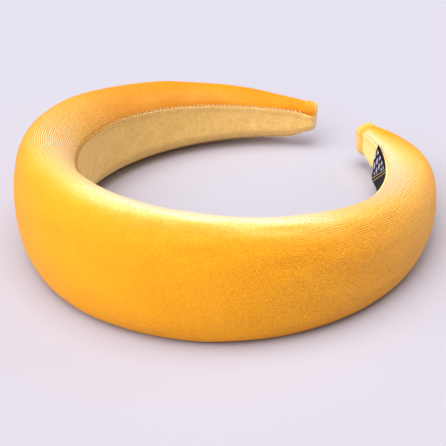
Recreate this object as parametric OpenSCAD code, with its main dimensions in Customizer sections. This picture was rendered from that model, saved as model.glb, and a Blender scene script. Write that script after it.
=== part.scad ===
// Padded headband: a C-shaped band under a thick padded velvet cover, with a cloth lining sewn
// along its inner face, a turned-over wrap at each tip and a small woven label near one tip.
// It lies on one rim, as it rests on a table: the crown points to -Y, the tips to +Y and the
// origin is under the middle of the band. The left arm is the one on the -X side.
// Every section is drawn in its own plane as [n, z]: n runs out from the inner face, z across
// the band. A share s runs along the inner face: -1 at the left tip, 0 at the crown, 1 at the right.

/* [Band] */
// Length of the inner face, measured round the curve from tip to tip
inner_length = 382; // [350:2:410]
// Radius of the inner face at the crown
crown_radius = 59.5; // [56:0.5:66]
// Angle in degrees that each arm turns through between the crown and its tip
arm_turn = 152; // [144:1:156]

/* [Padding] */
// Width of the band at the crown, from rim to rim
crown_width = 51; // [44:1:56]
// Thickness of the band at the crown, from the inner face out
crown_thickness = 24.6; // [18:0.2:28]
// Width of the band where its padding ends
arm_width = 19; // [16:0.2:22]
// Thickness of the band where its padding ends
arm_thickness = 7.4; // [6.6:0.2:10]
// Length of each tip past the end of the padding
bare_tip = 13.4; // [11:0.2:18]
// Width of each tip at its end
tip_width = 11.8; // [11:0.2:16]
// Thickness of each tip at its end
tip_thickness = 6.8; // [6:0.2:7.6]
// Height that the left tip is bent up from the line of the arm
left_tip_lift = 2; // [0:0.1:3]
// Height that the right tip is bent up
right_tip_lift = 0.4; // [0:0.1:2]

/* [Resting] */
// Depth that the soft rim flattens where it lies
rim_sink = 0.7; // [0.4:0.1:1.2]
// Share of each arm's length at which it touches down together with the crown
touch_share = 0.37; // [0.32:0.01:0.42]

/* [Lining] */
// Height of the lining's upper edge above the middle of the band at the crown; it falls as the
// band narrows
lining_rise = 12.8; // [10:0.2:14]
// Distance that the lining's upper edge drops further toward the end of the left tip
left_edge_drop = 2; // [0:0.2:2.6]
// Thickness of the lining
lining_thickness = 1.5; // [1:0.1:1.8]
// Rounding of the lining's long edges
lining_edge = 0.4; // [0.2:0.1:0.5]

/* [Tip wraps] */
// Length of cloth turned over each tip
wrap_length = 6; // [5:0.2:8]
// Thickness of the turned-over cloth
wrap_thickness = 1.2; // [1:0.1:1.4]
// Height that the turned-over cloth stands above the cover beside it
wrap_step = 0.3; // [0.2:0.1:0.6]
// Thickness of the cloth where the right wrap covers the lining
wrap_cover = 0.8; // [0.6:0.1:1]

/* [Label] */
// Length of the label along the band
label_length = 40; // [30:1:50]
// Height of the label across the band
label_height = 15.8; // [12:0.2:18]
// Thickness of the folded label
label_thickness = 1; // [0.6:0.1:1.2]
// Distance from the right tip to the label, along the band
label_from_tip = 25; // [22:1:35]
// Distance that the label's middle lies below the middle of the band
label_drop = 1; // [0:0.2:2]
// Height that the label bows off the lining along its middle
label_bow = 1; // [0:0.1:1.6]

/* [Hidden] */

// Clearances: beside the lining's edges, between two layers, and where the wrap meets the cover
seam_gap = 0.3;
layer_gap = 0.2;
butt_gap = 0.3;

// Form of the section, in shares of its half width and thickness: the flat inner face ends at
// flat_share of the half width, and the rim stands at rim_share of the thickness
flat_share = 0.456;
rim_share = 0.595;
shoulder_power = 1.77;
dome_power = 2.27;
// How the width and the thickness fall from the crown to the end of the padding
width_fall = [1.76, 1.12];
thickness_fall = [3.3, 0.62];
// How the bare tip narrows to its end
tip_fall = 1.2;
// Share of the arm past which the tip bends up
bend_from = 0.88;
// Radius that rounds the end of each tip
end_round = 0.6;
// Angle on the lower shoulder at which the lining's lower edge lies
fold_end = 62;

// Numbers of steps: along the padding, the bare tip, the wrap and the label, in the sum that
// lays out the curve, over the shoulder and dome of a section, under its rim and round the fold
pad_steps = 36;
bare_steps = 3;
wrap_steps = 3;
label_steps = 12;
label_rows = 6;
curve_steps = 40;
shoulder_steps = 6;
dome_steps = 7;
rim_steps = 2;
fold_steps = 5;
// Power that crowds the steps toward the end of the padding and the end of the fold
crowding = 1.6;

half_length = inner_length / 2;
crown_rate = half_length / crown_radius * 180 / PI;
pad_end = 1 - bare_tip / half_length;
cover_edge = 1 - wrap_length / half_length;
neck_from = cover_edge + butt_gap / half_length;
wrap_from = neck_from + butt_gap / half_length;
wrap_plate = 1 - wrap_thickness / half_length;
inside_end = wrap_plate - butt_gap / half_length;
channel_floor = lining_thickness + layer_gap;

// Angle in degrees between the band's direction at share s and its direction at the crown
function heading(s) = crown_rate * s + (arm_turn - crown_rate) * pow(s, 3);

// Point of the inner face at share s, seen from above: the sum of short steps along the heading
function plan(s) =
    let (steps = [for (i = [0 : curve_steps - 1])
        let (h = heading(s * (i + 0.5) / curve_steps)) [cos(h), sin(h)]])
    s * half_length / curve_steps * ([for (p = steps) 1] * steps);

// Value at share a of an arm that falls from the crown to the padding's end and on to the tip
function along(a, crown, arm, tip, fall, power) =
    let (u = min(a / pad_end, 1), v = max(a - pad_end, 0) / (1 - pad_end))
    arm + (crown - arm) * pow(1 - pow(u, fall[0]), fall[1]) + (tip - arm) * pow(v, power);
function half_width(a) =
    along(a, crown_width / 2, arm_width / 2, tip_width / 2, width_fall, tip_fall);
function thickness(a) =
    along(a, crown_thickness, arm_thickness, tip_thickness, thickness_fall, 1);

// Part that has bent up, from 0 to 1, of the lift at a tip
function bend(s) = pow(max(abs(s) - bend_from, 0) / (1 - bend_from), 2);

// Height of the lining's upper edge, and of the lip of the channel in the cover that holds it
function lining_top(s) = 2 * lining_rise / crown_width * half_width(abs(s))
    - (s < 0 ? left_edge_drop * bend(s) : 0);
function lip(s) = lining_top(s) + seam_gap;

// Point of a section's upper shoulder at angle q round from the flat face, at a depth below the
// surface; w is the half width and t the thickness. The lower shoulder is its mirror.
function shoulder(w, t, q, depth) =
    let (out = t * rim_share, up = w * (1 - flat_share))
    [out - (out - depth) * pow(cos(q), 2 / shoulder_power),
        w - up + (up - depth) * pow(sin(q), 2 / shoulder_power)];
function mirrored(p) = [p[0], -p[1]];

// Outline of a section from its upper lip at height z0, over the rim, round the outer side and
// back under the rim to angle q1 of the lower shoulder; n0 is where the flat face lies
function outline(w, t, n0, z0, q1, steps) =
    let (q0 = asin(pow(max(z0 / w - flat_share, 0) / (1 - flat_share), shoulder_power / 2)))
    concat([[n0 + shoulder(w, t, q0, 0)[0], z0]],
        [for (i = [1 : shoulder_steps])
            [n0, 0] + shoulder(w, t, 90 - (90 - q0) * (1 - i / shoulder_steps), 0)],
        [for (i = [1 : 2 * dome_steps]) let (q = 90 * i / dome_steps)
            [n0 + t * (rim_share + (1 - rim_share) * pow(sin(q), 2 / dome_power)),
                w * sign(cos(q)) * pow(abs(cos(q)), 2 / dome_power)]],
        [for (i = [1 : steps])
            [n0, 0] + mirrored(shoulder(w, t, 90 - (90 - q1) * i / steps, 0))]);
function closed_outline(w, t, n0) = outline(w, t, n0, w * flat_share, 0, shoulder_steps);

// Inside a wrap the cover is a thinner neck. The left wrap leaves the lining bare, so only the
// cover is drawn in; the right one goes round both.
neck_start = wrap_thickness + layer_gap;
neck_inset = neck_start - wrap_step;
function inside_left(s) = s < -cover_edge;
function inside_right(s) = s > cover_edge;

// Half width and thickness of the section that the lining lies on
function bed_width(s) = half_width(abs(s)) - (inside_right(s) ? neck_inset : 0);
function bed_thickness(s) = thickness(abs(s)) - (inside_right(s) ? neck_inset : 0);

// Row of points round the lower shoulder at a depth, up from angle q1 to the flat face
function fold(s, q1, depth) =
    [for (i = [0 : fold_steps])
        mirrored(shoulder(bed_width(s), bed_thickness(s),
            i == 0 ? q1 : fold_end * (1 - pow(i / fold_steps, crowding)), depth))];

// Angle of the channel's lower lip, one seam gap past the lining's lower edge
function lip_angle(s) =
    let (radius = (bed_thickness(s) * rim_share + bed_width(s) * (1 - flat_share) - channel_floor) / 2)
    fold_end + seam_gap / radius * 180 / PI;

// Section of the cover: the channel's floor from its lower to its upper wall, then the outline
function cover_section(s) =
    let (w = half_width(abs(s)), t = thickness(abs(s)), q1 = lip_angle(s))
    concat(fold(s, q1, channel_floor), [[channel_floor, lip(s)]],
        inside_left(s)
            ? outline(w - neck_inset, t - neck_start - neck_inset, neck_start, lip(s), q1, rim_steps)
            : outline(bed_width(s), bed_thickness(s), 0, lip(s), q1, rim_steps));

// Section of the lining, with its long edges cut back: its face and then its back
function lining_section(s) =
    let (h = lining_top(s), e = lining_edge, t = lining_thickness,
        face = fold(s, fold_end, 0), back = fold(s, fold_end, t))
    concat([fold(s, fold_end, e)[0]], [for (i = [1 : fold_steps]) face[i]],
        [[0, h - e], [e, h], [t - e, h], [t, h - e]],
        [for (i = [fold_steps : -1 : 1]) back[i]], [fold(s, fold_end, t - e)[0]]);

// Section of the slot in the left wrap that leaves the lining bare
function slot_section(s) =
    let (q1 = lip_angle(s), back = fold(s, q1, channel_floor), out = 2 * wrap_step)
    concat(fold(s, q1, -out), [[-out, lip(s)], [channel_floor, lip(s)]],
        [for (i = [fold_steps : -1 : 0]) back[i]]);

// Sections of a wrap's outside and of the room inside it
function wrap_outside(s, inset) =
    let (w = half_width(abs(s)) + wrap_step - inset, t = thickness(abs(s)) + wrap_step - inset,
        n0 = (s < 0 ? 0 : -layer_gap - wrap_cover) + inset)
    closed_outline(w, t - n0, n0);
function wrap_inside(s) =
    let (w = half_width(abs(s)) + wrap_step - wrap_thickness,
        t = thickness(abs(s)) + wrap_step - wrap_thickness,
        n0 = s < 0 ? wrap_thickness : -layer_gap)
    closed_outline(w, t - n0, n0);

// The band leans so that the crown's rim and both arms' rims touch the table together
function rim_y(s) = plan(s)[1] - rim_share * thickness(s) * cos(heading(s));
lean = atan2(half_width(0) - half_width(touch_share), rim_y(touch_share) - rim_y(0));

// Points of a section at share s, leaning but not yet set down
function leaning(s, section) =
    let (p = plan(s), h = heading(s), lift = bend(s) * (s < 0 ? left_tip_lift : right_tip_lift))
    [for (q = section) let (y = p[1] - q[0] * cos(h), z = q[1] + lift)
        [p[0] + q[0] * sin(h), y * cos(lean) + z * sin(lean), z * cos(lean) - y * sin(lean)]];

// The same points set down on the table, where the soft rim flattens
crown_ring = leaning(0, cover_section(0));
wrap_end = 1 - end_round / half_length;
tip_rings = concat(leaning(-wrap_end, wrap_outside(-wrap_end, 0)), leaning(-1, wrap_outside(-1, end_round)));
table_z = min([for (p = crown_ring) p[2]]) + rim_sink;
middle_y = (min([for (p = crown_ring) p[1]]) + max([for (p = tip_rings) p[1]])) / 2;
function ring(s, section) =
    [for (p = leaning(s, section)) [p[0], p[1] - middle_y, max(p[2] - table_z, 0)]];

// Shares of the sections along one arm, and along both arms from left to right
arm_shares = concat(
    [for (i = [0 : pad_steps]) pad_end * (1 - pow(1 - i / pad_steps, crowding))],
    [for (i = [1 : bare_steps]) pad_end + (cover_edge - pad_end) * i / bare_steps],
    [neck_from, inside_end]);
band_shares = concat([for (i = [len(arm_shares) - 1 : -1 : 1]) -arm_shares[i]], arm_shares);

// Faces between rings of n points each, and the same faces turned inside out
function skin(rings, n) =
    [for (i = [0 : rings - 2], j = [0 : n - 1]) let (k = (j + 1) % n)
        [i * n + j, (i + 1) * n + j, (i + 1) * n + k, i * n + k]];
function turned(face) = [for (i = [len(face) - 1 : -1 : 0]) face[i]];

// Solid through rings of points, in order of share; the first half of each ring faces the second,
// so that an end is a row of quads between them
module swept(rings) {
    n = len(rings[0]);
    last = (len(rings) - 1) * n;
    end = [for (j = [0 : ceil(n / 2) - 2]) let (k = n - 1 - j)
        j + 1 == k - 1 ? [j, j + 1, k] : [j, j + 1, k - 1, k]];
    polyhedron(
        points = [for (r = rings) each r],
        faces = concat(skin(len(rings), n), end, [for (f = end) turned([for (i = f) last + i])]));
}

module padded_cover() {
    color([1, 0.68, 0.14]) {
        n = len(cover_section(0));
        last = (len(band_shares) - 1) * n;
        // An end is a fan above the channel, one behind it and one below it, which meet at the
        // middle of the outer side
        high = fold_steps + 1;
        middle = high + 1 + shoulder_steps + dome_steps;
        ends = [concat([for (i = [high + 1 : middle]) i], [high]),
            concat([middle, 0], [for (i = [1 : high]) i]),
            concat([for (i = [middle : n - 1]) i], [0])];
        polyhedron(
            points = [for (s = band_shares) each ring(s, cover_section(s))],
            faces = concat(skin(len(band_shares), n), ends,
                [for (f = ends) turned([for (i = f) last + i])]));
    }
}

module lining() {
    color([0.91, 0.72, 0.42])
        swept([for (s = band_shares) ring(s, lining_section(s))]);
}

// Shares of the sections along a wrap, from its mouth to where its end starts to round
wrap_shares = [for (i = [0 : wrap_steps]) wrap_from + (wrap_end - wrap_from) * i / wrap_steps];
function along_arm(side, rings) = side < 0 ? turned(rings) : rings;

// Cloth turned over one tip: a closed cap, less the room for the neck inside it
module wrap_cap(side) {
    difference() {
        swept(along_arm(side, concat(
            [for (a = wrap_shares) ring(side * a, wrap_outside(side * a, 0))],
            [for (q = [45, 90]) let (a = wrap_end + (1 - wrap_end) * sin(q))
                ring(side * a, wrap_outside(side * a, end_round * (1 - cos(q))))])));
        swept(along_arm(side,
            [for (a = [cover_edge, wrap_from, wrap_plate]) ring(side * a, wrap_inside(side * a))]));
    }
}

// The left wrap is open where the lining runs
module left_tip_wrap() {
    color([1, 0.74, 0.26])
        difference() {
            wrap_cap(-1);
            swept(along_arm(-1, [for (a = [cover_edge, wrap_from, wrap_plate]) ring(-a, slot_section(-a))]));
        }
}

module right_tip_wrap() {
    color([1, 0.74, 0.26])
        wrap_cap(1);
}

// A strip along the right arm that stands a little off the lining, most along its middle
module label() {
    color([0.09, 0.08, 0.11]) {
        back = [for (j = [0 : label_rows]) let (v = 2 * j / label_rows - 1)
            [-layer_gap - label_bow * (1 - v * v), v * label_height / 2 - label_drop]];
        section = concat([for (p = back) p - [label_thickness, 0]], turned(back));
        swept([for (i = [0 : label_steps])
            let (s = 1 - (label_from_tip + label_length * (1 - i / label_steps)) / half_length)
            ring(s, section)]);
    }
}

padded_cover();
lining();
label();
left_tip_wrap();
right_tip_wrap();
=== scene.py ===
import math

import bpy
import numpy as np
from mathutils import Matrix


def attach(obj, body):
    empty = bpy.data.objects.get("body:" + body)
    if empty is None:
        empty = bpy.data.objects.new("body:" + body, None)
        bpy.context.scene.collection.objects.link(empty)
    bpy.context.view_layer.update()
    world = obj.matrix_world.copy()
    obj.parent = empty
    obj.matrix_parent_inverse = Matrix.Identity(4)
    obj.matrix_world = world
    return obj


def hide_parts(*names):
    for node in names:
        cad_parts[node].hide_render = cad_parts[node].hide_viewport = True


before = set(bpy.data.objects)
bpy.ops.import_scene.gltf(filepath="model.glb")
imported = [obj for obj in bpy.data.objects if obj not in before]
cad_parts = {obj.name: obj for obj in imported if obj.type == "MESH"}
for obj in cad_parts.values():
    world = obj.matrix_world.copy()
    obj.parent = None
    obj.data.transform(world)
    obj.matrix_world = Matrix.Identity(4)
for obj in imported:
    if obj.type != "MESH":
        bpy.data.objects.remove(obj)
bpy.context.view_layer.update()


# ---- The padded cover
# A long foam pad on a stiff hoop, under one piece of golden yellow stretch velvet with fine rows.
# The velvet is pulled over the pad, turned in along both edges of the inner face and sewn there,
# so it is D-shaped in section, fullest at the crown and thin where the pad ends near the tips.
# Sizes in metres. Shares are of the half length, from the crown, 0, to a tip, 1 or -1.
half_length = 0.191
crown_rate = half_length / 0.0595
arm_turn = math.radians(152)
pad_end = 1 - 0.0134 / half_length
crown_size, arm_size, tip_size = (0.0255, 0.0246), (0.0095, 0.0074), (0.0059, 0.0068)
flat_share, rim_share = 0.456, 0.595
shoulder_power, dome_power = 1.77, 2.27
band_lean, band_middle, band_height = math.radians(4.35611), 0.0589665, 0.0236146
bend_from, tip_lift, seam_drop = 0.88, (0.002, 0.0004), 0.0016
lining_share = 0.0128 / 0.0255
seam_gap, lining_depth, channel_depth = 0.0003, 0.0015, 0.0017
low_lip, low_stitch_at = math.radians(62), math.radians(63.5)
rim_softness, rim_press = 0.0005, 0.00008
wrap_length, wrap_from = 0.006, 1 - 0.0044 / half_length
row_pitch = 0.00088


def along(share, crown, arm, tip, fall, tip_fall):
    """Value at a share of an arm: from the crown's it falls to the arm's as a power curve of a
    power of the share, and past the padding's end on to the tip's as a plain power curve."""
    u = np.clip(share / pad_end, 0, 1)
    v = np.clip((share - pad_end) / (1 - pad_end), 0, 1)
    return arm + (crown - arm) * (1 - u ** fall[0]) ** fall[1] + (tip - arm) * v ** tip_fall


def pinch(s):
    """How far the velvet is drawn in where the wraps' mouths hold it: most at the right one."""
    at = (1 - np.abs(s)) * half_length
    return np.where(s > 0, 0.0004, 0.0001) * np.exp(-((at - 0.0064) / 0.0016) ** 2)


def half_width(s):
    """Half of the band's width at share s, from -1 at the left tip to 1 at the right tip."""
    return along(np.abs(s), crown_size[0], arm_size[0], tip_size[0], (1.76, 1.12), 1.2) - pinch(s)


def thickness(s):
    """Thickness of the band at share s, from the inner face out."""
    return along(np.abs(s), crown_size[1], arm_size[1], tip_size[1], (3.3, 0.62), 1) - pinch(s)


def bend(s):
    """Part of a tip's bend that has set in at share s: the square of the way past bend_from."""
    return np.clip((np.abs(s) - bend_from) / (1 - bend_from), 0, None) ** 2


def lining_top(s):
    """Height of the seam over the middle of the band: a fixed share of the half width, less a drop
    toward the end of the left tip."""
    return lining_share * half_width(s) - np.where(s < 0, seam_drop * bend(s), 0)


def place(s, n, z):
    """Puts points at share s, n out from the inner face and z across the band. The band's line is
    the sum of forty short steps along its heading, which turns by the crown's rate and a cubic
    term; the band then leans by a few degrees and is set down, where its soft rim flattens on a
    short curve, the mean of the height and of its smoothed size."""
    s, n, z = np.broadcast_arrays(s, n, z)

    def heading(x):
        return crown_rate * x + (arm_turn - crown_rate) * x ** 3

    turns = heading(s[..., None] * (np.arange(40) + 0.5) / 40)
    x = s * half_length * np.cos(turns).mean(-1) + n * np.sin(heading(s))
    y = s * half_length * np.sin(turns).mean(-1) - n * np.cos(heading(s))
    z = z + bend(s) * np.where(s < 0, tip_lift[0], tip_lift[1])
    flat_y = y * math.cos(band_lean) + z * math.sin(band_lean) - band_middle
    flat_z = z * math.cos(band_lean) - y * math.sin(band_lean) + band_height
    flat_z = (flat_z + np.sqrt(flat_z ** 2 + rim_softness ** 2)) / 2 - rim_press
    return np.stack([x, flat_y, np.maximum(flat_z, 0.0)], -1)


def shoulder(w, t, q, depth=0.0):
    """Point of the section's upper shoulder at angle q round from the flat inner face: a quarter
    of a superellipse between the face and the rim, its half axes shortened by the depth."""
    out, up = t * rim_share, w * (1 - flat_share)
    c, e = np.clip(np.cos(q), 0, 1) ** (2 / shoulder_power), np.sin(q) ** (2 / shoulder_power)
    return out - (out - depth) * c, w - up + (up - depth) * e


def lip_angle(w, z):
    """Angle of the shoulder at which it has the height z, the inverse of the superellipse."""
    rise = np.clip(z / w - flat_share, 0, None) / (1 - flat_share)
    return np.arcsin(np.clip(rise, 0, 1) ** (shoulder_power / 2))


def dome(w, t, q):
    """Point of the section's outer side at angle q, from 0 at the upper rim to pi at the lower."""
    c = np.cos(q)
    return (t * (rim_share + (1 - rim_share) * np.clip(np.sin(q), 0, 1) ** (2 / dome_power)),
            w * np.sign(c) * np.abs(c) ** (2 / dome_power))


def cover_section(s, fine):
    """Closed section of the cover at the shares s, as two grids. From the upper lip it runs over
    the shoulder, the dome and back under the rim to the lower lip, then round the channel that
    the lining lies in. Beside each lip the velvet rolls in on a small quarter circle."""
    w, t, top = half_width(s)[:, None], thickness(s)[:, None], lining_top(s)[:, None]
    lip = top + seam_gap
    q_top = lip_angle(w, lip)
    q_low = low_lip + seam_gap / (0.45 * (t * rim_share + w * 0.5))
    crowd = np.linspace(0, 1, fine + 1)[None] ** 1.7
    n1, z1 = shoulder(w, t, q_top + (math.pi / 2 - q_top) * crowd)
    z1 = np.where(crowd == 0, lip, z1)
    n2, z2 = dome(w, t, np.linspace(0, math.pi, 2 * fine + 1)[None, 1:-1])
    n3, z3 = shoulder(w, t, math.pi / 2 - (math.pi / 2 - q_low) * (1 - crowd[:, ::-1]))
    n, z = np.concatenate([n1, n2, n3], 1), np.concatenate([z1, z2, -z3], 1)
    roll = 0.0005 * np.clip(w / 0.012, 0.6, 1)
    for beside in [np.hypot(n - n[:, k:k + 1], z - z[:, k:k + 1]) for k in (0, n.shape[1] - 1)]:
        n = n + roll * (1 - np.sqrt(1 - np.clip(1 - beside / roll, 0, 1) ** 2))
    floor = np.linspace(1, 0, 5)[None]
    n4, z4 = shoulder(w, t, q_low * floor, channel_depth)
    top_corner = np.full_like(w, channel_depth)
    n = np.concatenate([n, n4, top_corner, (n[:, :1] + channel_depth) / 2], 1)
    z = np.concatenate([z, -z4, lip, lip], 1)
    return n, z


def ring_faces(rows, columns):
    """Quads between neighbouring points of a grid whose last column joins the first, as an array
    of point numbers."""
    here = np.arange(rows * columns).reshape(rows, columns)
    side = np.roll(here, -1, 1)
    return np.stack([here[:-1], here[1:], side[1:], side[:-1]], -1).reshape(-1, 4)


def inside_out(co, quads):
    """Whether the volume inside the quads, by the triple products of their corners, is negative."""
    a, b, c, d = (co[quads[:, k]] for k in range(4))
    return (a * (np.cross(b, c) + np.cross(c, d))).sum() < 0


def surface(name, points, uv=None, **shades):
    """Makes a closed mesh object of a grid of points whose rows are rings. The first and the last
    row are closed by a fan of triangles round their middle points. uv is a grid of two values for
    each point, and each further grid becomes an attribute of its name. If the volume inside the
    quads comes out negative, every face is turned round."""
    rows, columns = points.shape[:2]
    quads = ring_faces(rows, columns)
    co, uvs = points.reshape(-1, 3), None if uv is None else uv.reshape(-1, 2)
    faces = [quads]
    ring = np.arange(columns)
    for row, turn in ((0, 1), (rows - 1, -1)):
        hub = len(co)
        co = np.concatenate([co, points[row].mean(0)[None]])
        if uvs is not None:
            uvs = np.concatenate([uvs, uv[row].mean(0)[None]])
        pairs = np.stack([ring, np.roll(ring, -1)], 1)[:, ::turn] + row * columns
        faces.append(np.concatenate([np.full((columns, 1), hub), pairs], 1))
    corners = np.concatenate([f.reshape(-1) for f in faces])
    sizes = np.concatenate([np.full(len(f), f.shape[1]) for f in faces])
    if inside_out(co, quads):
        corners = np.concatenate([f[:, ::-1].reshape(-1) for f in faces])
    mesh = bpy.data.meshes.new(name)
    mesh.vertices.add(len(co))
    mesh.loops.add(len(corners))
    mesh.polygons.add(len(sizes))
    mesh.vertices.foreach_set("co", co.astype(np.float32).reshape(-1))
    mesh.loops.foreach_set("vertex_index", corners.astype(np.int32))
    mesh.polygons.foreach_set("loop_start", (np.cumsum(sizes) - sizes).astype(np.int32))
    mesh.update(calc_edges=True)
    mesh.validate()
    if uvs is not None:
        layer = mesh.uv_layers.new(name="cloth")
        layer.data.foreach_set("uv", uvs[corners].astype(np.float32).reshape(-1))
    for label, shade in shades.items():
        values = np.concatenate([shade.reshape(-1), np.zeros(len(co) - shade.size)])
        layer = mesh.attributes.new(label, "FLOAT", "POINT")
        layer.data.foreach_set("value", values.astype(np.float32))
    mesh.polygons.foreach_set("use_smooth", np.ones(len(sizes), bool))
    made = bpy.data.objects.new(name, mesh)
    bpy.context.scene.collection.objects.link(made)
    return made


def smooth_steps(values, count):
    """Values at count even places along a grid's first axis, by Catmull-Rom cubics between rows."""
    at = np.linspace(0, len(values) - 1, count)
    i = np.clip(at.astype(int), 0, len(values) - 2)
    f = (at - i)[:, None, None]
    p = [values[np.clip(i + k, 0, len(values) - 1)] for k in (-1, 0, 1, 2)]
    return 0.5 * (2 * p[1] + (p[2] - p[0]) * f + (2 * p[0] - 5 * p[1] + 4 * p[2] - p[3]) * f ** 2
                  + (3 * p[1] - p[0] - 3 * p[2] + p[3]) * f ** 3)


def swell(fine, coarse):
    """How the stretched velvet swells and dips under the pad's pressure. A coarse copy of the
    cover, unevenly slack and held at its seams and tips, is inflated as cloth for twenty frames.
    Each point's move, less the mean move of the seventeen rows round it, fades out toward the
    seams, is limited to 0.35 mm and is spread over the fine grid by cubics in both directions."""
    frames, most, around = 20, 0.00035, 8
    s = np.linspace(-wrap_from, wrap_from, coarse[0])
    n, z = cover_section(s, coarse[1])
    outer = 4 * coarse[1] + 1
    full = place(s[:, None], n, z)
    middle = place(s[:, None], thickness(s)[:, None] * 0.45, np.zeros_like(s)[:, None])
    free = np.zeros(n.shape)
    free[3:-3, 2:outer - 2] = 1
    random = np.random.default_rng(7)
    slack = 0.0004 + 0.0005 * smooth_steps(random.random((33, n.shape[1], 1)), coarse[0])[..., 0]
    inward = middle - full
    inward = inward / np.linalg.norm(inward, axis=-1, keepdims=True)
    start = full + inward * (slack * free)[..., None]
    start[..., 2] = np.maximum(start[..., 2], 0)
    pad = surface("swelling_pad", start)
    pins = pad.vertex_groups.new(name="held")
    held = [int(i) for i in np.flatnonzero(free.reshape(-1) == 0)]
    pins.add(held + [n.size, n.size + 1], 1.0, "REPLACE")
    cloth = pad.modifiers.new("swelling", "CLOTH").settings
    cloth.vertex_group_mass = "held"
    cloth.quality = 6
    cloth.mass = 0.25
    cloth.tension_stiffness = cloth.compression_stiffness = 18
    cloth.shear_stiffness = 8
    cloth.bending_stiffness = 1.2
    cloth.use_pressure = True
    cloth.uniform_pressure_force = 4
    cloth.effector_weights.gravity = 0
    for number in range(1, frames + 1):
        bpy.context.scene.frame_set(number)
    shown = pad.evaluated_get(bpy.context.evaluated_depsgraph_get()).data
    after = np.zeros(len(shown.vertices) * 3, np.float32)
    shown.vertices.foreach_get("co", after)
    after = after.reshape(-1, 3)[:n.size].reshape(full.shape)
    bpy.context.scene.frame_set(1)
    bpy.data.objects.remove(pad)
    move = (after - full)[:, :outer]
    row = np.arange(coarse[0])
    rows_round = [np.clip(row + k, 0, coarse[0] - 1) for k in range(-around, around + 1)]
    move = move - np.mean([move[k] for k in rows_round], 0)
    from_seam = np.minimum(np.arange(outer), np.arange(outer)[::-1])[:, None]
    from_tip = np.minimum(row, row[::-1])[:, None, None]
    move = move * np.clip((from_seam - 1) / 6, 0, 1) ** 2 * np.clip(from_tip / around, 0, 1)
    length = np.linalg.norm(move, axis=-1, keepdims=True)
    move = move * np.minimum(1, most / np.maximum(length, 1e-9))
    move = smooth_steps(move, fine[0])
    return smooth_steps(move.transpose(1, 0, 2), fine[1]).transpose(1, 0, 2)


cover_steps, cover_fine = 521, 30
cover_s = np.linspace(-wrap_from, wrap_from, cover_steps)
cover_n, cover_z = cover_section(cover_s, cover_fine)
cover_points = place(cover_s[:, None], cover_n, cover_z)
outer_columns = 4 * cover_fine + 1
across = np.linalg.norm(np.diff(cover_points, axis=1), axis=-1)
across = np.concatenate([np.zeros((cover_steps, 1)), np.cumsum(across, 1)], 1)
from_middle = across[:, 2 * cover_fine][:, None] - across
full_rows = across[cover_steps // 2, 2 * cover_fine]
squeeze = (full_rows / across[:, 2 * cover_fine][:, None]) ** 0.6
cover_run = np.broadcast_to(cover_s[:, None] * half_length, across.shape)
cover_uv = np.stack([cover_run, from_middle * squeeze], -1)
cover_points[:, :outer_columns] += swell((cover_steps, outer_columns), (97, 8))
cover_points[..., 2] = np.maximum(cover_points[..., 2], 0)


def bump_at(x, middle, reach):
    """A soft bump, 1 at its middle, by a Gauss curve."""
    return np.exp(-((x - middle) / reach) ** 2)


def step_at(x, middle, reach):
    """A soft step from 0 to 1 round its middle, by a logistic curve."""
    return 1 / (1 + np.exp(-(x - middle) / reach))


# Soft masks over the cover, placed by the share of the arm and by the column of the section, which
# is 0 at the upper seam, 1 on the upper rim, 2 at the middle of the outer side and 3 on the lower
# rim: how plainly the rows stand out, where a pale sheen is painted on where the light catches the
# pile, where shade and light are painted darker and brighter, and how coarse its grain shows.
share = cover_s[:, None]
column = np.minimum(np.arange(cover_points.shape[1]), outer_columns - 1)[None] / cover_fine
# left_by_seam marks painted shade on the left arm's inner shoulder, which faces away from the
# light; left_strip marks painted shade and a little painted sheen on a strip above that seam.
left_by_seam = bump_at(share, -0.5, 0.15) * bump_at(column, 0.2, 0.6)
left_strip = bump_at(share, -0.7, 0.15) * bump_at(column, 0.35, 0.3)
left_of_crown = (bump_at(share, -0.15, 0.25) * step_at(-share, 0.02, 0.025)
                 * step_at(-column, -1.05, 0.12))
patch_edge = 0.16 * step_at(-share, -0.06, 0.015) - 1.38
right_of_crown = (step_at(share, -0.02, 0.025) * (1 - step_at(share, 0.37, 0.03))
                  * step_at(-column, patch_edge, 0.05) * step_at(column, 0.1, 0.08))
right_arm = step_at(share, 0.42, 0.06)
right_reach = 0.7 - 0.38 * np.clip(share - 0.6, 0, 0.3) / 0.3
right_rim = right_arm * bump_at(np.maximum(column, 0.3), 0.3, right_reach)
right_side = ((0.12 + 0.12 * step_at(share, 0.55, 0.04)) * bump_at(share, 0.5, 0.25)
              * bump_at(column, 1.8, 0.8))
right_lip = (1.17 - 0.1 * bump_at(share, 0.95, 0.12)) * right_arm * bump_at(column, 0, 0.35)
cover_rows = 0.05 + 0.95 * (
    np.clip(bump_at(share, 0.56, 0.2) + 0.95 * bump_at(share, -0.3, 0.2), 0, 1)
    * np.clip(bump_at(column, 1.0, 1.0) + 0.3 * bump_at(column, 2.2, 0.5), 0, 1))
# Painted sheen: a pale highlight placed where the light from behind on the left catches the crown's
# inner rim and the right arm; where it passes 1, at the right arm's lip, it shows at any angle.
cover_nap = (0.97 * right_of_crown + 0.62 * left_of_crown + 0.05 * left_by_seam
             + 0.98 * right_rim + right_side)
cover_nap = np.maximum(cover_nap, right_lip) + 0.32 * left_strip
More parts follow.
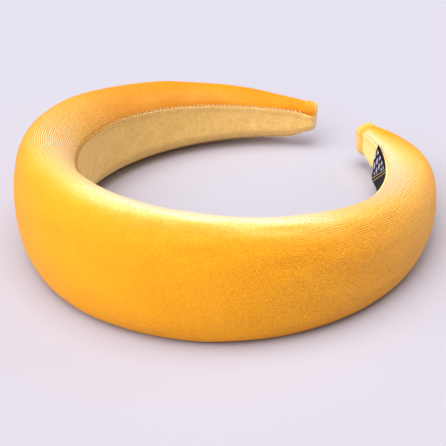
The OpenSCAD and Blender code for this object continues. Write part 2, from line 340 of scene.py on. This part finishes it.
# Painted shade and light: the front is painted lighter where the light falls; the far arm, the
# outer side behind the right tip, the left arm's inner shoulder and a strip above its seam are
# painted darker as shade, and so is the groove of the upper seam on the left half.
cover_brush = (0.4 * bump_at(share, -0.05, 0.22) * bump_at(column, 2.1, 0.8)
               + 0.2 * bump_at(share, 0.22, 0.12) * bump_at(column, 2.4, 0.6)
               - 0.35 * step_at(-share, 0.5, 0.06) * bump_at(column, 0.9, 0.9)
               - 0.35 * bump_at(share, 0.9, 0.12) * bump_at(column, 1.5, 0.8)
               - left_by_seam - 0.4 * left_strip - 0.6 * (share < 0) * bump_at(across, 0, 0.0009))
cover_rough = 0.3 + 0.7 * np.clip(
    bump_at(share, 0.35, 0.3) * bump_at(column, 2.2, 0.9) + 1.3 * left_by_seam, 0, 1)
velvet_cover = surface("velvet_cover", cover_points, cover_uv,
                       rows=cover_rows, nap=cover_nap, brush=cover_brush, rough=cover_rough)


def add_node(tree, kind, at, values=(), **settings):
    """Adds a shader node at a column and row of the editor, sets its properties, and sets or
    joins its inputs."""
    made = tree.nodes.new(kind)
    made.location = (at[0] * 200, at[1] * -180)
    for key, value in settings.items():
        setattr(made, key, value)
    for key, value in dict(values).items():
        if isinstance(value, bpy.types.NodeSocket):
            tree.links.new(value, made.inputs[key])
        else:
            made.inputs[key].default_value = value
    return made


def math_node(tree, operation, at, a, b=0.0, c=0.0, clamp=False):
    """A Math node's result."""
    made = add_node(tree, "ShaderNodeMath", at, {0: a, 1: b, 2: c},
                    operation=operation, use_clamp=clamp)
    return made.outputs[0]


def mix_colour(tree, at, share, a, b):
    """A colour mixed from two colours."""
    return add_node(tree, "ShaderNodeMix", at, {0: share, 6: a, 7: b}, data_type="RGBA").outputs[2]


def new_group(name, inputs, outputs):
    """An empty shader node group of numbers: inputs with their first values, and outputs."""
    tree = bpy.data.node_groups.new(name, "ShaderNodeTree")
    for label, value in inputs.items():
        socket = tree.interface.new_socket(label, in_out="INPUT", socket_type="NodeSocketFloat")
        socket.default_value = value
    for label in outputs:
        tree.interface.new_socket(label, in_out="OUTPUT", socket_type="NodeSocketFloat")
    given, put = tree.nodes.new("NodeGroupInput"), tree.nodes.new("NodeGroupOutput")
    return tree, given.outputs, put.inputs


# The pile's grain: fine clumps, and the broad patches in which the pile leans one way or another.
pile_grain, given, put = new_group("pile_grain", {"Grain": 1500.0, "Patch": 60.0},
                                   ["Fine", "Broad"])
place_in = add_node(pile_grain, "ShaderNodeTexCoord", (0, 0)).outputs["Object"]
fine = add_node(pile_grain, "ShaderNodeTexNoise", (1, 0), {
    "Vector": place_in, "Scale": given["Grain"], "Detail": 3.0, "Roughness": 0.6})
broad = add_node(pile_grain, "ShaderNodeTexNoise", (1, 1), {
    "Vector": place_in, "Scale": given["Patch"], "Detail": 2.0, "Roughness": 0.5,
    "Distortion": 0.6})
pile_grain.links.new(fine.outputs[0], put["Fine"])
pile_grain.links.new(broad.outputs[0], put["Broad"])

# The velvet's rows: even waves across the cloth, each a little uneven along its length.
pile_rows, given, put = new_group("pile_rows", {"Pitch": row_pitch, "Waver": 0.6}, ["Rows"])
cloth = add_node(pile_rows, "ShaderNodeUVMap", (0, 0), uv_map="cloth").outputs[0]
spread = add_node(pile_rows, "ShaderNodeVectorMath", (1, 1), {0: cloth, 1: (260.0, 900.0, 1.0)},
                  operation="MULTIPLY")
waver = add_node(pile_rows, "ShaderNodeTexNoise", (2, 1), {
    "Vector": spread.outputs[0], "Scale": 1.0, "Detail": 2.0}).outputs[0]
cross = add_node(pile_rows, "ShaderNodeSeparateXYZ", (1, 0), {0: cloth}).outputs[1]
turn = math_node(pile_rows, "DIVIDE", (2, 0), cross, given["Pitch"])
shift = math_node(pile_rows, "SUBTRACT", (3, 2), waver, 0.5)
shift = math_node(pile_rows, "MULTIPLY", (3, 1), shift, given["Waver"])
turn = math_node(pile_rows, "ADD", (3, 0), turn, shift)
turn = math_node(pile_rows, "MULTIPLY", (4, 0), turn, math.tau)
wave = math_node(pile_rows, "SINE", (5, 0), turn)
pile_rows.links.new(math_node(pile_rows, "MULTIPLY_ADD", (6, 0), wave, 0.5, 0.5), put["Rows"])


def velvet(name, deep, bright, straw, cream, rows):
    """The velvet: its colour runs from deep between the rows to bright on them and on the tips of
    the pile, and the painted shade and light move it toward deep or bright. Where a painted sheen
    is marked it turns to straw and on to cream at a grazing angle, and the mark's part past 1 does
    so at any angle, as a painted highlight."""
    material = bpy.data.materials.new(name)
    material.use_nodes = True
    tree = material.node_tree
    shader = tree.nodes["Principled BSDF"]
    grain = add_node(tree, "ShaderNodeGroup", (0, 0), node_tree=pile_grain)
    grain.inputs["Grain"].default_value = 2200.0
    grain.inputs["Patch"].default_value = 45.0
    lines = add_node(tree, "ShaderNodeGroup", (0, 1), node_tree=pile_rows)
    show, nap, brush, rough = (
        add_node(tree, "ShaderNodeAttribute", (0, 2 + k), attribute_name=label).outputs["Fac"]
        for k, label in enumerate(("rows", "nap", "brush", "rough")))
    ridge = math_node(tree, "SUBTRACT", (1, 1), lines.outputs[0], 0.5)
    show = math_node(tree, "MULTIPLY", (1, 2), show, rows)
    ridge = math_node(tree, "MULTIPLY", (2, 1), ridge, show)
    clump = math_node(tree, "SUBTRACT", (1, 0), grain.outputs["Fine"], 0.5)
    patch = math_node(tree, "SUBTRACT", (1, 3), grain.outputs["Broad"], 0.5)
    coarse = math_node(tree, "MULTIPLY", (1, -1), rough, 3.6)
    tone = math_node(tree, "MULTIPLY_ADD", (2, 0), clump, coarse, ridge)
    tone = math_node(tree, "ADD", (4, 0), tone, math_node(tree, "MULTIPLY", (2, 3), patch, 0.4))
    # Painted shade and light: the mesh's marks move the tone darker or lighter.
    tone = math_node(tree, "ADD", (5, 0), tone, brush)
    tone = math_node(tree, "ADD", (6, 0), tone, 0.62, clamp=True)
    colour = mix_colour(tree, (7, 0), tone, deep, bright)
    grazing = add_node(tree, "ShaderNodeLayerWeight", (1, 5), {"Blend": 0.5}).outputs["Facing"]
    grazing = math_node(tree, "MULTIPLY_ADD", (2, 4), patch, 0.3, grazing)
    grazing = add_node(tree, "ShaderNodeMapRange", (2, 5), {0: grazing, 1: -0.1, 2: 0.54},
                       interpolation_type="SMOOTHSTEP")
    # Painted sheen: cream where the mesh marks it, at a grazing angle, and past 1 at any angle.
    shine = math_node(tree, "MULTIPLY", (3, 5), grazing.outputs[0], nap)
    shine = math_node(tree, "MAXIMUM", (3, 7), shine, math_node(tree, "SUBTRACT", (2, 7), nap, 1.0))
    speck = math_node(tree, "MULTIPLY_ADD", (3, 6), ridge, 0.6, clump)
    speck = math_node(tree, "MULTIPLY_ADD", (4, 5), speck, 3.4, 0.9)
    shine = math_node(tree, "MULTIPLY", (5, 5), shine, speck, clamp=True)
    to_straw = math_node(tree, "MULTIPLY", (7, 5), shine, 2.0, clamp=True)
    to_cream = math_node(tree, "MULTIPLY_ADD", (7, 6), shine, 2.0, -1.0, clamp=True)
    colour = mix_colour(tree, (8, 0), to_straw, colour, straw)
    tree.links.new(mix_colour(tree, (9, 0), to_cream, colour, cream), shader.inputs["Base Color"])
    height = math_node(tree, "MULTIPLY_ADD", (3, 2), clump, 0.9, ridge)
    bump = add_node(tree, "ShaderNodeBump", (4, 2), {
        "Strength": 0.8, "Distance": 0.00022, "Height": height})
    tree.links.new(bump.outputs[0], shader.inputs["Normal"])
    shader.inputs["Roughness"].default_value = 0.6
    shader.inputs["Specular IOR Level"].default_value = 0.14
    shader.inputs["Sheen Weight"].default_value = 0.09
    shader.inputs["Sheen Roughness"].default_value = 0.35
    shader.inputs["Sheen Tint"].default_value = (1.0, 0.85, 0.55, 1)
    return material


# deep and bright are the velvet's own colours; straw and cream are those of its painted sheen.
golden = ((0.62, 0.205, 0.003, 1), (1.0, 0.41, 0.011, 1),
          (0.93, 0.575, 0.17, 1), (0.83, 0.655, 0.49, 1))
velvet_cover.data.materials.append(velvet("golden_velvet", *golden, 1.1))
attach(velvet_cover, "root")
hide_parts("padded_cover")


# ---- The lining
# A strip of paler brushed cloth along the inner face, from tip to tip. Its long edges are turned
# under, so that the upper one shows as a soft roll beside the seam, and it is stretched round the
# lower shoulder and whip-stitched to the velvet along both edges.
lining_end = 1 - 0.0011 / half_length
lining_steps, low_columns, face_columns, back_columns = 441, 15, 24, 6
lining_proud, edge_radius, edge_roll = 0.00012, 0.0006, 0.0003
lining_s = np.linspace(-lining_end, lining_end, lining_steps)


def lining_bed(s):
    """Half width and thickness of the section under the lining, drawn in inside the right wrap."""
    past_mouth = (s - (1 - wrap_length / half_length)) * half_length
    inside = 0.0011 * np.clip(past_mouth / 0.0003, 0, 1)
    return half_width(s) - inside, thickness(s) - inside


def edge_swell(from_edge):
    """How far the lining stands up in a roll beside its edge, by a Gauss curve 1.2 mm in."""
    return edge_roll * np.exp(-((from_edge - 0.0012) / 0.0009) ** 2)


def lining_section(s):
    """Closed section of the lining. Its face follows the lower shoulder and the flat inner face,
    lies 0.12 mm proud, swells in a roll along both edges and turns in over them on a quarter
    circle; its back lies 1.5 mm deeper."""
    w, t = (x[:, None] for x in lining_bed(s))
    turned = 0.0001
    top = lining_top(s)[:, None] + turned
    n1, z1 = shoulder(w, t, low_lip * np.linspace(1, 0, low_columns)[None])
    climb = 1 - (1 - np.linspace(0, 1, face_columns)[None, 1:]) ** 1.8
    z2 = -w * flat_share + (top + w * flat_share) * climb
    n, z = np.concatenate([n1, np.zeros_like(z2)], 1), np.concatenate([-z1, z2], 1)
    upper, lower = top - z, np.hypot(n - n[:, :1], z - z[:, :1])
    n = n - lining_proud - edge_swell(upper) - edge_swell(lower)
    for from_edge in (upper, lower):
        near = np.clip(1 - from_edge / edge_radius, 0, 1)
        n = n + edge_radius * (1 - np.sqrt(1 - near ** 2))
    nb, zb = shoulder(w, t, low_lip * np.linspace(0, 1, back_columns)[None], lining_depth)
    back_top = np.concatenate([top - turned, top * 0.5, top * 0.0], 1)
    n = np.concatenate([n, np.full_like(back_top, lining_depth), nb], 1)
    z = np.concatenate([z, back_top, -zb], 1)
    return n, z


lining_n, lining_z = lining_section(lining_s)
lining_points = place(lining_s[:, None], lining_n, lining_z)
lining_across = np.cumsum(np.linalg.norm(np.diff(lining_points, axis=1), axis=-1), 1)
lining_across = np.concatenate([np.zeros((lining_steps, 1)), lining_across], 1)
lining_along = np.broadcast_to(lining_s[:, None], lining_across.shape)
lining_uv = np.stack([lining_along * half_length, lining_across], -1)
# Painted highlight: the lining is painted pale past 0.6 of the right arm, where the light falls on
# it.
lining = surface("lining_strip", lining_points, lining_uv, worn=step_at(lining_along, 0.6, 0.05))


def brushed_cloth(name, deep, bright, pale):
    """Brushed cotton: a matte short pile with a soft mottle and a fine irregular grain, painted
    pale as a painted highlight where the mesh marks it."""
    material = bpy.data.materials.new(name)
    material.use_nodes = True
    tree = material.node_tree
    shader = tree.nodes["Principled BSDF"]
    grain = add_node(tree, "ShaderNodeGroup", (0, 0), node_tree=pile_grain)
    grain.inputs["Grain"].default_value = 1000.0
    grain.inputs["Patch"].default_value = 160.0
    mottle = math_node(tree, "MULTIPLY_ADD", (1, 1), grain.outputs["Broad"], 0.6, -0.4)
    tone = math_node(tree, "MULTIPLY_ADD", (2, 0), grain.outputs["Fine"], 1.2, mottle, clamp=True)
    worn = add_node(tree, "ShaderNodeAttribute", (2, 2), attribute_name="worn").outputs["Fac"]
    colour = mix_colour(tree, (3, 0), tone, deep, bright)
    tree.links.new(mix_colour(tree, (4, 0), worn, colour, pale), shader.inputs["Base Color"])
    bump = add_node(tree, "ShaderNodeBump", (3, 1), {
        "Strength": 0.7, "Distance": 0.0003, "Height": grain.outputs["Fine"]})
    tree.links.new(bump.outputs[0], shader.inputs["Normal"])
    shader.inputs["Roughness"].default_value = 0.95
    shader.inputs["Specular IOR Level"].default_value = 0.1
    shader.inputs["Sheen Weight"].default_value = 0.3
    shader.inputs["Sheen Roughness"].default_value = 0.5
    shader.inputs["Sheen Tint"].default_value = (1.0, 0.9, 0.7, 1)
    return material


# Its own colours run deep to bright; the third, pale, is the painted highlight.
lining.data.materials.append(brushed_cloth(
    "tan_brushed_cloth", (0.74, 0.41, 0.095, 1), (1.0, 0.70, 0.26, 1), (1.0, 0.76, 0.27, 1)))
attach(lining, "root")
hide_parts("lining")


# ---- The whip stitches
# Pale yellow thread that joins the velvet's edge to the lining's, one slanting stitch every
# 1.8 mm along both seams from tip to tip, each dipping into the cloth at its two ends.
stitch_pitch, stitch_across, stitch_slant, thread = 0.0018, 0.0019, 0.0012, 0.00036
stitch_end, stitch_rise, stitch_sunk = 0.965, 0.0007, 0.0002


def stitches(name, seam, away):
    """Short bent threads, all in one mesh. Each crosses the seam on a line that slants along it,
    stands up in the middle as a half sine and is six-sided, its sides on a circle round that
    line. seam gives the seam's place n, z for shares s, and away the two directions there: that
    of the face across the seam and that of its outward side."""
    rings, sides = 7, 6
    count = int(2 * half_length * stitch_end / stitch_pitch)
    random = np.random.default_rng(11)
    centre = np.linspace(-stitch_end, stitch_end, count) + random.normal(0, 0.0004, count)
    length = stitch_across * random.uniform(0.85, 1.15, count)
    t = np.linspace(-1, 1, rings)[None, :, None]
    turn = np.linspace(0, math.tau, sides + 1)[None, None, :-1]
    slant = stitch_slant / half_length * random.uniform(0.8, 1.2, (count, 1, 1))
    s = centre[:, None, None] + t * slant
    (face_n, face_z), (out_n, out_z) = away(s)
    radius = thread * np.sqrt(1 - 0.85 * t ** 2)
    offset = t * length[:, None, None] / 2 + radius * np.cos(turn)
    rise = stitch_rise * np.cos(t * math.pi / 2) - stitch_sunk + radius * np.sin(turn)
    seam_n, seam_z = seam(s)
    n = seam_n + face_n * offset + out_n * rise
    z = seam_z + face_z * offset + out_z * rise
    points = place(s, n, z)
    first = np.arange(count)[:, None, None] * rings * sides
    ring = np.arange(sides)
    quads = (ring_faces(rings, sides)[None] + first).reshape(-1, 4)
    caps = (np.stack([ring[::-1], ring + (rings - 1) * sides])[None] + first).reshape(-1, sides)
    if inside_out((points - points.mean((1, 2), keepdims=True)).reshape(-1, 3), quads):
        quads, caps = quads[:, ::-1], caps[:, ::-1]
    mesh = bpy.data.meshes.new(name)
    mesh.from_pydata(points.reshape(-1, 3).tolist(), [], quads.tolist() + caps.tolist())
    mesh.polygons.foreach_set("use_smooth", np.ones(len(mesh.polygons), bool))
    # Painted shade: the thread keeps its own pale yellow past half of each arm and is painted dark
    # gold nearer the crown, as the shade in the seam's groove.
    worn = step_at(np.abs(np.broadcast_to(s, points.shape[:-1]).reshape(-1)), 0.5, 0.05)
    layer = mesh.attributes.new("worn", "FLOAT", "POINT")
    layer.data.foreach_set("value", worn.astype(np.float32))
    made = bpy.data.objects.new(name, mesh)
    bpy.context.scene.collection.objects.link(made)
    return made


def upper_seam(s):
    """On the upper seam the face runs up the band and its outward side is the head's side."""
    return (np.zeros_like(s), np.ones_like(s)), (-np.ones_like(s), np.zeros_like(s))


def lower_point(s):
    """Place of the lower seam on the lower shoulder."""
    n, z = shoulder(*lining_bed(s), low_stitch_at)
    return n, -z


def lower_seam(s):
    """On the lower seam the face runs down round the shoulder, at right angles to its outside."""
    w, t = lining_bed(s)
    lean_n, lean_z = math.cos(low_stitch_at) / t, math.sin(low_stitch_at) / w
    size = np.hypot(lean_n, lean_z)
    return (lean_z / size, -lean_n / size), (-lean_n / size, -lean_z / size)


upper_stitches = stitches("upper_seam_stitches", lambda s: (0 * s, lining_top(s) + seam_gap / 2),
                          upper_seam)
lower_stitches = stitches("lower_seam_stitches", lower_point, lower_seam)
thread_material = bpy.data.materials.new("pale_yellow_thread")
thread_material.use_nodes = True
tree = thread_material.node_tree
shader = tree.nodes["Principled BSDF"]
place_in = add_node(tree, "ShaderNodeTexCoord", (-1, 0)).outputs["Object"]
twist = add_node(tree, "ShaderNodeTexWave", (0, 0), {
    "Vector": place_in, "Scale": 900.0, "Distortion": 1.5}, bands_direction="DIAGONAL")
# Dark gold stands for the shade in the seam's groove, painted shade; the pale yellow is the
# thread's own colour, shown where the mesh's mark is set.
colour = mix_colour(tree, (1, 0), twist.outputs[1], (0.6, 0.3, 0.03, 1), (0.82, 0.48, 0.08, 1))
worn = add_node(tree, "ShaderNodeAttribute", (1, 1), attribute_name="worn").outputs["Fac"]
colour = mix_colour(tree, (2, 0), worn, colour, (0.9, 0.64, 0.26, 1))
tree.links.new(colour, shader.inputs["Base Color"])
shader.inputs["Roughness"].default_value = 0.6
for seam in (upper_stitches, lower_stitches):
    seam.data.materials.append(thread_material)
    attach(seam, "root")


# ---- The tip wraps
# At each tip the velvet is folded over the end of the hoop and glued down. On the left tip the
# fold leaves the lining bare up to its last millimetre; on the right tip it goes right round.
wrap_step, wrap_cloth, wrap_round, wrap_flare = 0.0003, 0.0014, 0.0012, 0.0002
mouth_radius, mouth_reach = 0.0005, 0.0046


def closed_outline(w, t, n0, v):
    """Whole outline of a section at the turn v, from 0 to 1: up the flat face's lower half, over
    the upper shoulder, round the dome, and back under the lower shoulder to where it began."""
    a = v * 6
    n_up, z_up = shoulder(w, t, np.clip(a - 1, 0, 1) * math.pi / 2)
    n_out, z_out = dome(w, t, np.clip(a - 2, 0, 2) / 2 * math.pi)
    n_low, z_low = shoulder(w, t, np.clip(5 - a, 0, 1) * math.pi / 2)
    flat = np.where(a <= 1, a, a - 6) * w * flat_share
    parts = [a <= 1, a <= 2, a <= 4, a <= 5]
    n = np.select(parts, [0 * n_up, n_up, n_out, n_low], 0 * n_up)
    return n + n0, np.select(parts, [flat, z_up, z_out, -z_low], flat)


def tip_wrap(name, side, over, mouth):
    """A cap of cloth in one closed surface. It starts at the middle of the plate inside the end,
    runs back along the inside to the mouth, round the mouth's folded edge, forward along the
    outside, round the end and in to its middle. Each block of rows has its distance forward of
    the wrap's back, its depth under the outside and its size as a share of the outline's. over is
    how far the wrap stands off the inner face, for the lining under it, and mouth gives where its
    edge lies for each turn v of the outline."""
    v = np.linspace(0, 1, 97)[None, :-1]
    start, r = mouth(v), mouth_radius
    back = np.radians(np.linspace(0, 180, 9))[1:8, None]
    end = np.radians(np.linspace(0, 90, 6))[1:, None]
    body, ramp = np.linspace(0, 1, 15)[:, None], np.linspace(1, 0, 6)[:, None]
    inward, whole = np.array([0.02, 0.35, 0.7])[:, None], np.ones((1, 1))
    plate = wrap_length - wrap_cloth
    tip = wrap_length + (0.0009 if side > 0 else 0.0)
    bulge = 0.0005 if side > 0 else 0.00012
    inner = np.minimum(start + 0.0006, plate)
    blocks = [
        (plate, 2 * r, inward),
        (inner + (plate - inner) * ramp, 2 * r, whole),
        (start + r * (1 - np.sin(back)), r * (1 + np.cos(back)), whole),
        (start + r + (tip - wrap_round - start - r) * body, -bulge * np.sin(math.pi * body), whole),
        (tip + wrap_round * (np.sin(end) - 1), wrap_round * (1 - np.cos(end)), whole),
        (tip + np.array([0.0001, 0.00016, 0.0002])[:, None], wrap_round, inward[::-1])]
    grids = [np.broadcast_arrays(forward + 0 * v, depth, size) for forward, depth, size in blocks]
    t, d, shrink = (np.concatenate(rows) for rows in zip(*grids))
    from_mouth = np.clip((t - start) / 0.0018, 0, 1)
    flare = (wrap_step + wrap_flare) * (1 - from_mouth ** 2 * (3 - 2 * from_mouth))
    d = d + flare * (start < 0.002)
    s = side * (1 - (wrap_length - t) / half_length)
    w, thick = half_width(s) + wrap_step - d, thickness(s) + wrap_step + over - 2 * d
    n, z = closed_outline(w, thick, d - over, v)
    middle = thick * 0.5 - over
    points = place(s, middle + (n - middle) * shrink, z * shrink)
    if side < 0:
        points = points[:, ::-1]
    across = np.cumsum(np.linalg.norm(np.diff(points, axis=1, append=points[:, :1]), axis=-1), 1)
    uv = np.stack([across, (t[:, ::-1] if side < 0 else t)], -1)
    # Painted sheen and light on the wraps: the right wrap's inner face is painted paler, with a
    # pale sheen; the left wrap is painted darker, with a pale sheen away from the lining's face and
    # toward its end.
    low, bare = bump_at(v * 6, 5.0, 0.5), np.clip(start / mouth_reach, 0, 1)
    if side > 0:
        face = bump_at(v, 0, 0.2) + bump_at(v, 1, 0.2) + 0 * t
        nap, brush = 0.25 + 0.6 * face + 0.2 * low, 0.45 * face - 0.15
    else:
        nap = (0.15 + 0.45 * bump_at(t, tip, 0.0014) + 1.05 * bare)[:, ::-1]
        brush = np.full_like(t, -0.4)
    return surface(name, points, uv, nap=nap, brush=brush,
                   rows=np.full_like(t, 0.2), rough=np.full_like(t, 0.35))


def left_mouth(v):
    """The left wrap's edge: at the back over most of the outline, and close to the end where the
    lining runs, from the lower seam up the flat face to the upper seam, with soft corners."""
    return mouth_reach * (1 - step_at(v * 6, 0.55, 0.05) * step_at(-v * 6, -4.42, 0.05))


tip_velvet = velvet("tip_velvet", *golden, 0.4)
left_wrap = tip_wrap("left_tip_fold", -1, 0.0001, left_mouth)
right_wrap = tip_wrap("right_tip_fold", 1, 0.001, lambda v: 0 * v)
for fold, node in ((left_wrap, "left_tip_wrap"), (right_wrap, "right_tip_wrap")):
    fold.data.materials.append(tip_velvet)
    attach(fold, "root")
    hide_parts(node)


# ---- The label
# A black satin-woven label, folded and sewn over the lining of the right arm. It bows a little
# off the lining along its middle, and carries a plain generic pattern: even rows of small pale
# lozenges over the end near the tip, up to a gold double line that crosses the label aslant.
label_length, label_height, label_cloth = 0.04, 0.0158, 0.0007
label_from_tip, label_drop = 0.025, 0.001
label_u = np.linspace(0, 1, 81)[:, None]
label_v = np.linspace(-1, 1, 41)[None, :]


def label_sheet(u, v, out):
    """Point of the label at u along it and v across it. It stands off the lining by a parabola
    across, most a little below its middle, with a slow sine ripple along it, is out proud of its
    back, and its upper corner at the tip's end rides up on the velvet's shoulder."""
    s = 1 - (label_from_tip + label_length * (1 - u)) / half_length
    bow = (1 - ((v + 0.35) / 1.35) ** 2) * (0.0009 + 0.0007 * u)
    ripple = 0.0001 * np.sin(u * 17 + v * 2) * (1 - v ** 2)
    ride_up = 0.0012 * (1 + v) / 2 * u ** 4
    return place(s, -0.0003 - bow - out - ripple, v * label_height / 2 - label_drop + ride_up)


edge = np.clip(1 - np.maximum(np.abs(2 * label_u - 1), np.abs(label_v)) ** 24, 0, 1) ** 0.5
front = label_sheet(label_u, label_v, label_cloth * (0.5 + 0.5 * edge))
rear = label_sheet(label_u, label_v, label_cloth * (0.5 - 0.5 * edge))
label_uv = np.stack(np.broadcast_arrays(label_u * label_length, label_v * label_height / 2), -1)
label = surface("woven_label", np.concatenate([front, rear[:, ::-1]], 1),
                np.concatenate([label_uv, label_uv[:, ::-1]], 1))
material = bpy.data.materials.new("black_satin_weave")
material.use_nodes = True
tree = material.node_tree
shader = tree.nodes["Principled BSDF"]
cloth = add_node(tree, "ShaderNodeUVMap", (-1, 0), uv_map="cloth").outputs[0]
cloth = add_node(tree, "ShaderNodeSeparateXYZ", (0, 0), {0: cloth})
run, rise = cloth.outputs[0], cloth.outputs[1]
weft, warp = (
    math_node(tree, "SINE", (1, k), math_node(tree, "MULTIPLY", (0, k), way, math.tau / pitch))
    for k, way, pitch in ((2, rise, 0.00026), (3, run, 0.0004)))
weave = math_node(tree, "MULTIPLY", (2, 2), weft, warp)
lozenge = math_node(tree, "ADD", (3, 0), *(
    math_node(tree, "DIVIDE", (2, k), math_node(tree, "PINGPONG", (1, k), way, half), half)
    for k, way, half in ((0, run, 0.0023), (1, rise, 0.0031))))
motif = math_node(tree, "ABSOLUTE", (4, 0), math_node(tree, "SUBTRACT", (4, 1), lozenge, 1.0))
motif = math_node(tree, "GREATER_THAN", (5, 0), motif, 0.42)
slope = math_node(tree, "MULTIPLY_ADD", (1, 7), rise, 1.48, run)
far = math_node(tree, "SUBTRACT", (2, 4), slope, 0.0277)
line = math_node(tree, "SUBTRACT", (3, 5), math_node(tree, "ABSOLUTE", (3, 4), far), 0.0012)
line = math_node(tree, "ABSOLUTE", (4, 4), line)
line = math_node(tree, "LESS_THAN", (5, 4), line, 0.0005)
keep = math_node(tree, "GREATER_THAN", (4, 5), far, 0.0028)
middle = math_node(tree, "LESS_THAN", (4, 6), math_node(tree, "ABSOLUTE", (3, 6), rise), 0.0064)
keep = math_node(tree, "MULTIPLY", (5, 5), keep, middle)
motif = math_node(tree, "MULTIPLY", (6, 0), motif, keep)
thread_light = math_node(tree, "MULTIPLY_ADD", (5, 1), weave, 0.3, 0.7)
motif = math_node(tree, "MULTIPLY", (7, 1), motif, thread_light)
colour = mix_colour(tree, (7, 0), motif, (0.01, 0.009, 0.014, 1), (0.72, 0.70, 0.92, 1))
colour = mix_colour(tree, (8, 0), line, colour, (0.34, 0.24, 0.11, 1))
tree.links.new(colour, shader.inputs["Base Color"])
bump = add_node(tree, "ShaderNodeBump", (8, 2), {
    "Strength": 0.6, "Distance": 0.0001, "Height": weave})
tree.links.new(bump.outputs[0], shader.inputs["Normal"])
shader.inputs["Roughness"].default_value = 0.6
shader.inputs["Specular IOR Level"].default_value = 0.06
label.data.materials.append(material)
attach(label, "root")
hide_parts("label")


# ---- The floor, the light and the camera
# A plain pale lilac table top, a large soft light overhead and a second high on the left, three
# weaker ones low on the left, in front and behind on the right, and the photograph's camera.
mesh = bpy.data.meshes.new("table_top")
mesh.from_pydata([(-4, -4, 0), (4, -4, 0), (4, 4, 0), (-4, 4, 0)], [], [(0, 1, 2, 3)])
table_top = bpy.data.objects.new("table_top", mesh)
bpy.context.scene.collection.objects.link(table_top)
material = bpy.data.materials.new("pale_table")
material.use_nodes = True
shader = material.node_tree.nodes["Principled BSDF"]
shader.inputs["Base Color"].default_value = (0.45, 0.43, 0.49, 1)
shader.inputs["Roughness"].default_value = 0.8
shader.inputs["Specular IOR Level"].default_value = 0.0
table_top.data.materials.append(material)

world = bpy.data.worlds.new("soft_room")
world.use_nodes = True
sky = world.node_tree.nodes["Background"]
sky.inputs["Color"].default_value = (1.0, 1.0, 1.0, 1)
sky.inputs["Strength"].default_value = 0.2
bpy.context.scene.world = world

view_turn, view_rise, view_roll = math.radians(41.327), math.radians(31.73), math.radians(1.428)


def facing(turn, rise):
    """Unit vector from the band toward a viewer at a turn to the right of -Y and a rise above the
    table, and the level unit vector to the viewer's right."""
    right = np.array([math.cos(turn), math.sin(turn), 0])
    level = np.array([math.sin(turn), -math.cos(turn), 0])
    return level * math.cos(rise) + np.array([0, 0, math.sin(rise)]), right


def aim(made, right, upward, back):
    """Turns an object so that its own axes lie along three unit vectors, and links it."""
    made.rotation_mode = "QUATERNION"
    axes = Matrix(np.stack([right, upward, back], 1).tolist())
    made.rotation_quaternion = axes.to_quaternion()
    bpy.context.scene.collection.objects.link(made)


def soft_light(name, turn, rise, spread, power):
    """A far soft white light, a compass turn to the right of the camera and a rise above the
    table; it spreads over an angle, all in degrees."""
    data = bpy.data.lights.new(name, "SUN")
    data.angle, data.energy = math.radians(spread), power
    back, right = facing(view_turn + math.radians(turn), math.radians(rise))
    aim(bpy.data.objects.new(name, data), right, np.cross(back, right), back)


soft_light("ceiling", 20, 86, 50, 2.55)
soft_light("window", -60, 58, 55, 1.6)
soft_light("left", -90, 20, 45, 0.62)
soft_light("front", -30, 36, 40, 0.9)
soft_light("back_right", 112, 24, 50, 0.82)

sensor, focal_pixels, photo_pixels = 36, 1134.755, 446
shift_x, shift_y, distance = 0.000761, -0.001271, 0.469945
camera_data = bpy.data.cameras.new("camera")
camera_data.sensor_width = sensor
camera_data.lens = sensor * focal_pixels / photo_pixels
camera_data.clip_start = 0.01
camera = bpy.data.objects.new("camera", camera_data)
back, level = facing(view_turn, view_rise)
above = np.cross(back, level)
camera.location = -shift_x * level + distance * back - shift_y * above
aim(camera, math.cos(view_roll) * level - math.sin(view_roll) * above,
    math.sin(view_roll) * level + math.cos(view_roll) * above, back)
bpy.context.scene.camera = camera
bpy.context.scene.view_settings.view_transform = "Standard"
